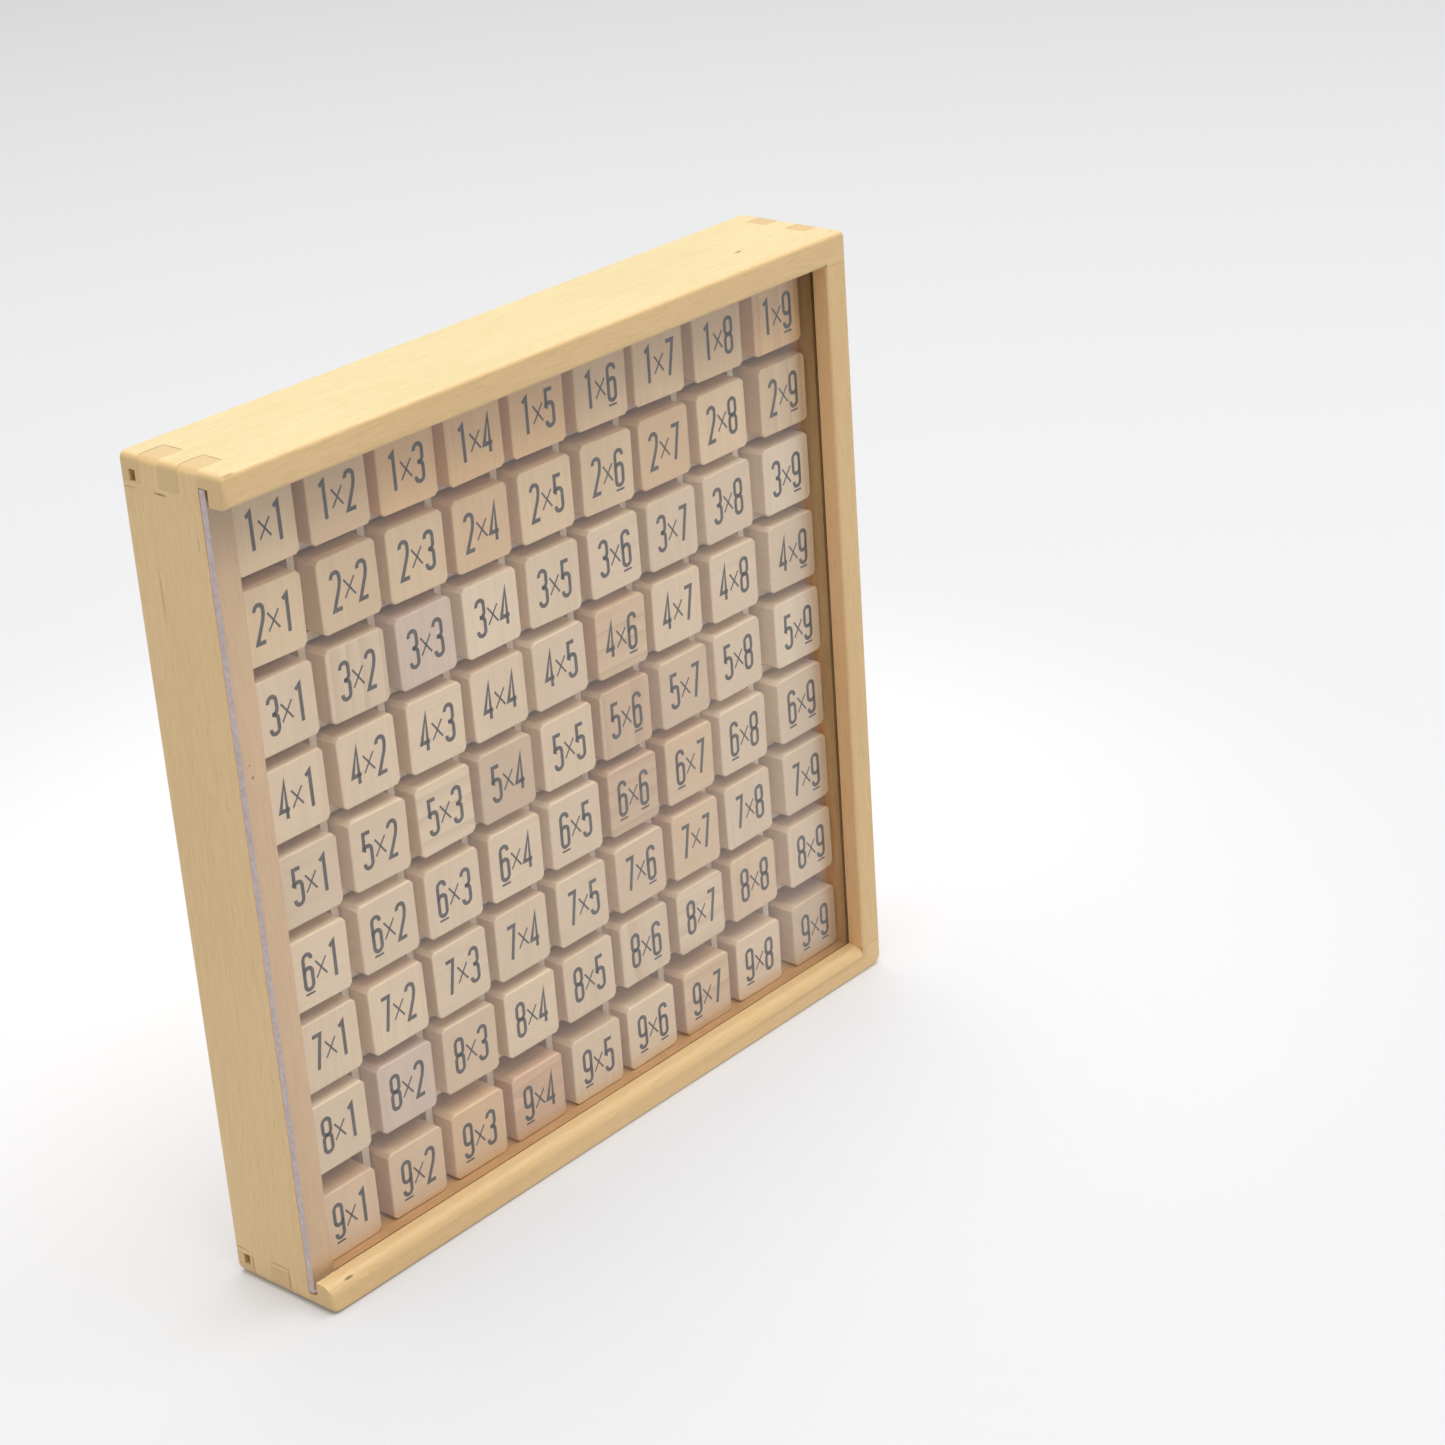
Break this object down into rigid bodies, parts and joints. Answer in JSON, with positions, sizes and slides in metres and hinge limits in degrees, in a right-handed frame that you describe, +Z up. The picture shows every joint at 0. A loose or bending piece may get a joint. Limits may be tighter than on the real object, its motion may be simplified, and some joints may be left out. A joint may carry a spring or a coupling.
{
  "type": "multiplication tile board",
  "caption": "Shallow square wooden case of loose printed multiplication tiles in a grid, closed by a clear lid that slides out sideways.",
  "frame": {"origin": "under the middle of the case, on the surface that it stands on", "axes": "+Z up, -Y the front with the lid and the printed tile faces, +X to the right seen from the front"},
  "size_m": [0.175, 0.028, 0.175],
  "materials": {
    "rail_wood": "satin varnish",
    "panel_wood": "bare",
    "strip_wood": "bare",
    "tile_wood": "sanded, printed on the face",
    "clear_sheet": "clear, polished faces"
  },
  "bodies": {
    "case": {"top_rail": "rail_wood", "bottom_rail": "rail_wood", "left_rail": "rail_wood", "right_rail": "rail_wood", "back_panel": "panel_wood", "upright_strip_1": "strip_wood", "upright_strip_2": "strip_wood", "upright_strip_3": "strip_wood", "upright_strip_4": "strip_wood", "upright_strip_5": "strip_wood", "upright_strip_6": "strip_wood", "upright_strip_7": "strip_wood", "upright_strip_8": "strip_wood", "level_strip_1": "strip_wood", "level_strip_2": "strip_wood", "level_strip_3": "strip_wood", "level_strip_4": "strip_wood", "level_strip_5": "strip_wood", "level_strip_6": "strip_wood", "level_strip_7": "strip_wood", "level_strip_8": "strip_wood", "tile_row_1": "tile_wood", "tile_row_2": "tile_wood", "tile_row_3": "tile_wood", "tile_row_4": "tile_wood", "tile_row_5": "tile_wood", "tile_row_6": "tile_wood", "tile_row_7": "tile_wood", "tile_row_8": "tile_wood", "tile_row_9": "tile_wood"},
    "lid": {"sliding_lid": "clear_sheet"}
  },
  "joints": [
    {"name": "lid_slide", "type": "slide", "parent": "case", "child": "lid", "axis": [-1, 0, 0], "range_m": [0, 0.17]}
  ]
}
